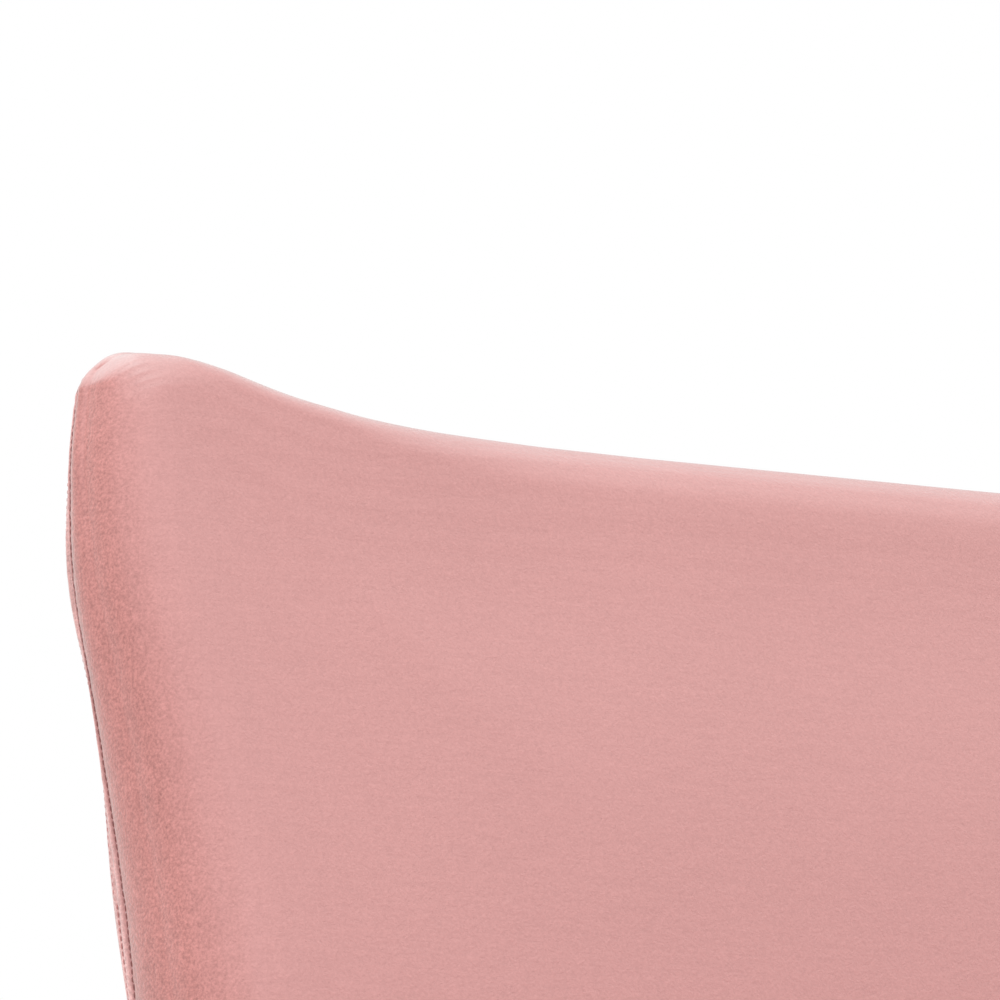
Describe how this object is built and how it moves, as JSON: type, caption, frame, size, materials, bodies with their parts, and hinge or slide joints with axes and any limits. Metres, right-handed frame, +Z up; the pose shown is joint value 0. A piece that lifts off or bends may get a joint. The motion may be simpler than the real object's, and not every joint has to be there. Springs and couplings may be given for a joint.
{
  "type": "glider nursery chair",
  "caption": "Upholstered armchair that glides forward and back on four hanging links and turns on a round base ring.",
  "frame": {"origin": "on the floor, on the swivel axis, midway between the front of the arms and the rearmost point of the back", "axes": "+Z up, the sitter faces -Y, +X is to the sitter's left"},
  "size_m": [0.72, 0.8, 1.02],
  "materials": {
    "velvet": "matte",
    "ticking": "matte",
    "dust_cloth": "matte",
    "webbing": "matte",
    "beech": "satin",
    "plywood": "satin",
    "black_steel": "satin",
    "grey_steel": "satin",
    "zinc": "satin",
    "spring_steel": "satin",
    "nylon": "satin",
    "rubber": "matte"
  },
  "bodies": {
    "base": {"base_ring": "black_steel", "base_cross": "black_steel", "floor_pad_1": "nylon", "floor_pad_2": "nylon", "floor_pad_3": "nylon", "floor_pad_4": "nylon", "swivel_lower_race": "grey_steel", "swivel_ball_cage": "nylon", "swivel_bolt": "zinc"},
    "swivel_frame": {"swivel_upper_race": "grey_steel", "swivel_plate": "black_steel", "glide_channel_left": "grey_steel", "glide_channel_right": "grey_steel", "bumper_front_left": "rubber", "bumper_front_right": "rubber", "bumper_rear_left": "rubber", "bumper_rear_right": "rubber", "upper_pivot_bolt_front_left": "zinc", "upper_pivot_bolt_front_right": "zinc", "upper_pivot_bolt_rear_left": "zinc", "upper_pivot_bolt_rear_right": "zinc"},
    "link_front_left": {"glide_link_front_left": "grey_steel"},
    "link_front_right": {"glide_link_front_right": "grey_steel"},
    "link_rear_left": {"glide_link_rear_left": "grey_steel"},
    "link_rear_right": {"glide_link_rear_right": "grey_steel"},
    "seat": {"carriage_rail_left": "grey_steel", "carriage_rail_right": "grey_steel", "lower_pivot_bolt_front_left": "zinc", "lower_pivot_bolt_front_right": "zinc", "lower_pivot_bolt_rear_left": "zinc", "lower_pivot_bolt_rear_right": "zinc", "carriage_bolt_front_left": "zinc", "carriage_bolt_front_right": "zinc", "carriage_bolt_rear_left": "zinc", "carriage_bolt_rear_right": "zinc", "seat_rail_front": "beech", "seat_rail_rear": "beech", "seat_rail_left": "beech", "seat_rail_right": "beech", "mechanism_slat_left": "beech", "mechanism_slat_right": "beech", "seat_spring_1": "spring_steel", "seat_spring_2": "spring_steel", "seat_spring_3": "spring_steel", "seat_spring_4": "spring_steel", "dust_cover": "dust_cloth", "seat_deck": "ticking", "seat_cushion": "velvet", "front_apron": "velvet", "arm_cover_left": "velvet", "arm_cover_right": "velvet", "inside_back": "velvet", "outside_back": "velvet", "arm_panel_left": "plywood", "arm_panel_right": "plywood", "back_post_left": "beech", "back_post_right": "beech", "back_top_rail": "beech", "back_lower_rail": "beech", "back_webbing": "webbing"}
  },
  "joints": [
    {"name": "swivel", "type": "hinge", "parent": "base", "child": "swivel_frame", "pos_m": [0, 0, 0.039], "axis": [0, 0, 1], "continuous": true},
    {"name": "glide", "type": "hinge", "parent": "swivel_frame", "child": "link_front_left", "pos_m": [0.175, -0.134, 0.195], "axis": [1, 0, 0], "range_deg": [-20, 20]},
    {"name": "seat_hang", "type": "hinge", "parent": "link_front_left", "child": "seat", "pos_m": [0.175, -0.134, 0.085], "axis": [1, 0, 0], "range_deg": [-20, 20]},
    {"name": "link_front_right_swing", "type": "hinge", "parent": "swivel_frame", "child": "link_front_right", "pos_m": [-0.175, -0.134, 0.195], "axis": [1, 0, 0], "range_deg": [-20, 20]},
    {"name": "link_rear_left_swing", "type": "hinge", "parent": "swivel_frame", "child": "link_rear_left", "pos_m": [0.175, 0.134, 0.195], "axis": [1, 0, 0], "range_deg": [-20, 20]},
    {"name": "link_rear_right_swing", "type": "hinge", "parent": "swivel_frame", "child": "link_rear_right", "pos_m": [-0.175, 0.134, 0.195], "axis": [1, 0, 0], "range_deg": [-20, 20]}
  ],
  "couplings": [
    {"joint": "seat_hang", "follows": "glide", "ratio": -1},
    {"joint": "link_front_right_swing", "follows": "glide", "ratio": 1},
    {"joint": "link_rear_left_swing", "follows": "glide", "ratio": 1},
    {"joint": "link_rear_right_swing", "follows": "glide", "ratio": 1}
  ]
}
